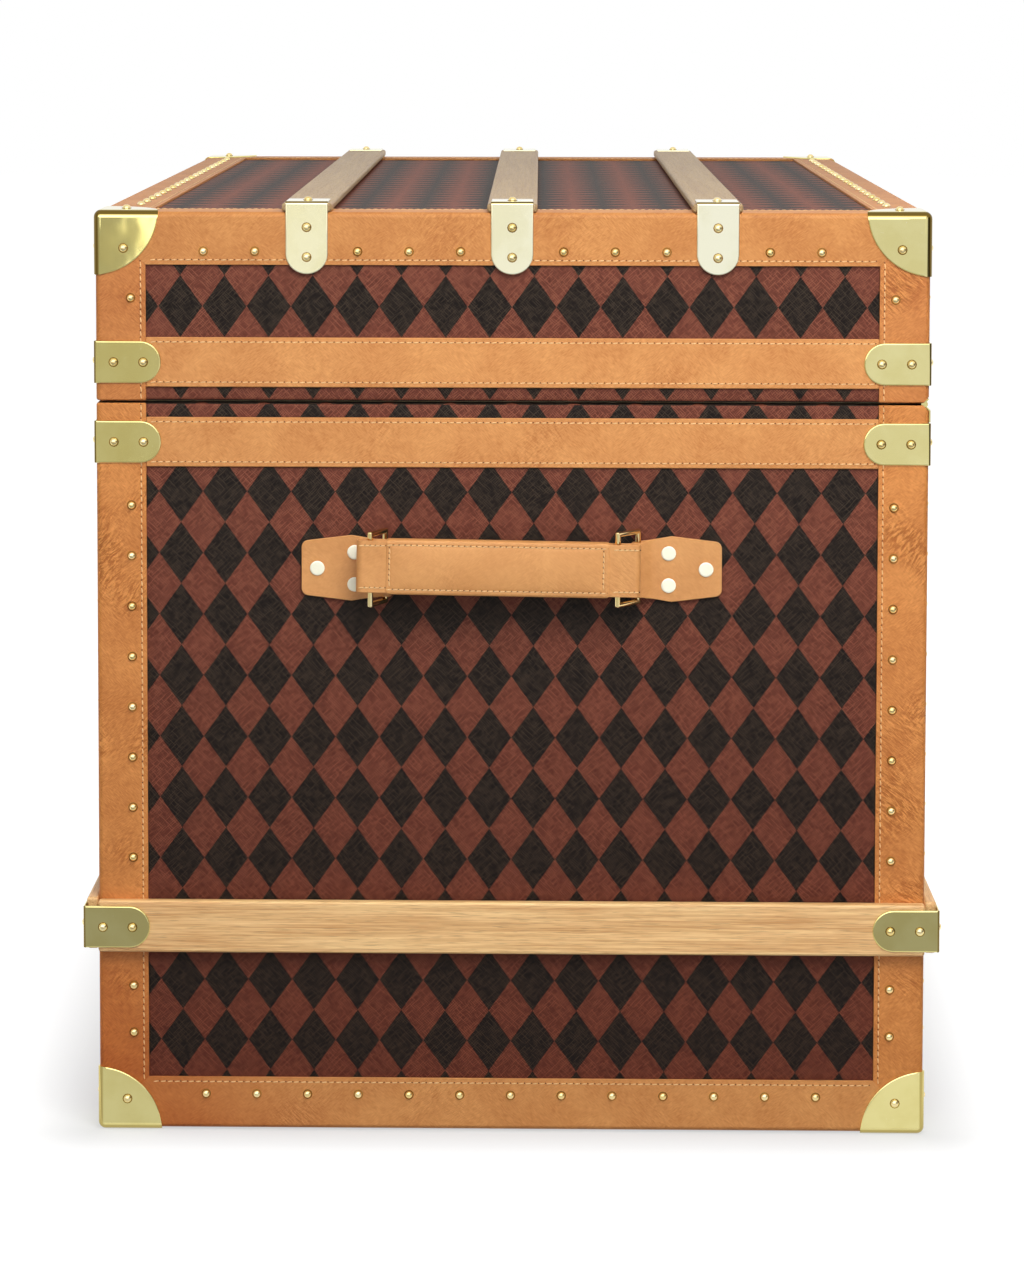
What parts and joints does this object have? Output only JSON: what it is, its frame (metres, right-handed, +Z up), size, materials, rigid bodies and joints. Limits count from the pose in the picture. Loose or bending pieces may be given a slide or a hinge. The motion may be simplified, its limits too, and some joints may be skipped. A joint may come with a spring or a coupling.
{
  "type": "travel trunk",
  "caption": "Lidded canvas travel trunk with leather edging, oak slats, brass corners, hasps, lift-out tray and a strap handle on each end.",
  "frame": {"origin": "on the floor under the middle of the trunk", "axes": "+X along the length towards the end whose handle the picture shows, +Y towards the hinge, +Z up; the hasps face -Y"},
  "size_m": [0.8512, 0.5785, 0.6249],
  "materials": {
    "canvas": "coated, fine crosshatch grain",
    "leather": "natural tan, smooth, semi-matt",
    "brass": "polished",
    "oak": "clear satin",
    "board": "plain plywood",
    "lining": "matt woven"
  },
  "bodies": {
    "trunk": {"body_front_panel": "board", "body_back_panel": "board", "body_end_panels": "board", "body_bottom_panel": "board", "body_canvas": "canvas", "body_lining": "lining", "closing_lip": "board", "tray_ledges": "board", "body_corner_edging": "leather", "body_base_edging": "leather", "body_band": "leather", "body_corner_clamps": "brass", "base_corner_caps": "brass", "belt_slats_ends": "oak", "belt_slats_sides": "oak", "belt_corner_plates": "brass", "hinge_leaf_body": "brass", "hinge_pin": "brass", "lock_case": "brass", "side_catches": "brass", "right_handle_anchors": "leather", "left_handle_anchors": "leather", "body_rivets": "brass", "handle_rivets": "brass"},
    "lid": {"lid_top_panel": "board", "lid_front_panel": "board", "lid_back_panel": "board", "lid_end_panels": "board", "lid_canvas": "canvas", "lid_lining": "lining", "lid_corner_edging": "leather", "lid_top_edging": "leather", "lid_band": "leather", "lid_corner_clamps": "brass", "lid_corner_caps": "brass", "top_slat_front": "oak", "top_slat_middle": "oak", "top_slat_back": "oak", "slat_end_caps": "brass", "hinge_leaf_lid": "brass", "hasp_brackets": "brass", "hasp_pins": "brass", "lid_rivets": "brass"},
    "tray": {"tray_bottom": "board", "tray_walls": "board", "tray_pulls": "leather"},
    "key": {"key_cylinder": "brass"},
    "bolt": {"lock_bolt": "brass"},
    "centre_hasp": {"centre_hasp": "brass"},
    "right_hasp": {"right_hasp": "brass"},
    "left_hasp": {"left_hasp": "brass"},
    "right_grip": {"right_handle_grip": "leather"},
    "right_taut_ring": {"right_handle_taut_ring": "brass"},
    "right_slack_ring": {"right_handle_slack_ring": "brass"},
    "left_grip": {"left_handle_grip": "leather"},
    "left_taut_ring": {"left_handle_taut_ring": "brass"},
    "left_slack_ring": {"left_handle_slack_ring": "brass"}
  },
  "joints": [
    {"name": "lid_hinge", "type": "hinge", "parent": "trunk", "child": "lid", "pos_m": [0, 0.272, 0.49], "axis": [-1, 0, 0], "range_deg": [0, 92]},
    {"name": "tray_lift", "type": "slide", "parent": "trunk", "child": "tray", "axis": [0, 0, 1], "range_m": [0, 0.1]},
    {"name": "key_turn", "type": "hinge", "parent": "trunk", "child": "key", "pos_m": [0, -0.28, 0.438], "axis": [0, -1, 0], "range_deg": [0, 90]},
    {"name": "bolt_slide", "type": "slide", "parent": "trunk", "child": "bolt", "axis": [-1, 0, 0], "range_m": [0, 0.0081]},
    {"name": "centre_hasp_swing", "type": "hinge", "parent": "lid", "child": "centre_hasp", "pos_m": [0, -0.2816, 0.506], "axis": [-1, 0, 0], "range_deg": [-8, 150]},
    {"name": "right_hasp_swing", "type": "hinge", "parent": "lid", "child": "right_hasp", "pos_m": [0.24, -0.2816, 0.506], "axis": [-1, 0, 0], "range_deg": [-8, 150]},
    {"name": "left_hasp_swing", "type": "hinge", "parent": "lid", "child": "left_hasp", "pos_m": [-0.24, -0.2816, 0.506], "axis": [-1, 0, 0], "range_deg": [-8, 150]},
    {"name": "right_grip_pull", "type": "hinge", "parent": "trunk", "child": "right_grip", "pos_m": [0.42027, -0.09249, 0.38], "axis": [0, 0, -1], "range_deg": [0, 1.66]},
    {"name": "right_slack_ring_swing", "type": "hinge", "parent": "trunk", "child": "right_slack_ring", "pos_m": [0.4024, 0.0835, 0.38], "axis": [0, 0, 1], "range_deg": [0, 30.5]},
    {"name": "right_taut_ring_play", "type": "hinge", "parent": "trunk", "child": "right_taut_ring", "pos_m": [0.4024, -0.0835, 0.38], "axis": [0, 0, 1], "range_deg": [-4, 4]},
    {"name": "left_grip_pull", "type": "hinge", "parent": "trunk", "child": "left_grip", "pos_m": [-0.42027, 0.09249, 0.38], "axis": [0, 0, -1], "range_deg": [0, 1.66]},
    {"name": "left_slack_ring_swing", "type": "hinge", "parent": "trunk", "child": "left_slack_ring", "pos_m": [-0.4024, -0.0835, 0.38], "axis": [0, 0, 1], "range_deg": [0, 30.5]},
    {"name": "left_taut_ring_play", "type": "hinge", "parent": "trunk", "child": "left_taut_ring", "pos_m": [-0.4024, 0.0835, 0.38], "axis": [0, 0, 1], "range_deg": [-4, 4]}
  ],
  "couplings": [
    {"joint": "bolt_slide", "follows": "key_turn", "m_per_rad": 0.005093},
    {"joint": "right_slack_ring_swing", "follows": "right_grip_pull", "ratio": 18.07},
    {"joint": "left_slack_ring_swing", "follows": "left_grip_pull", "ratio": 18.07}
  ]
}
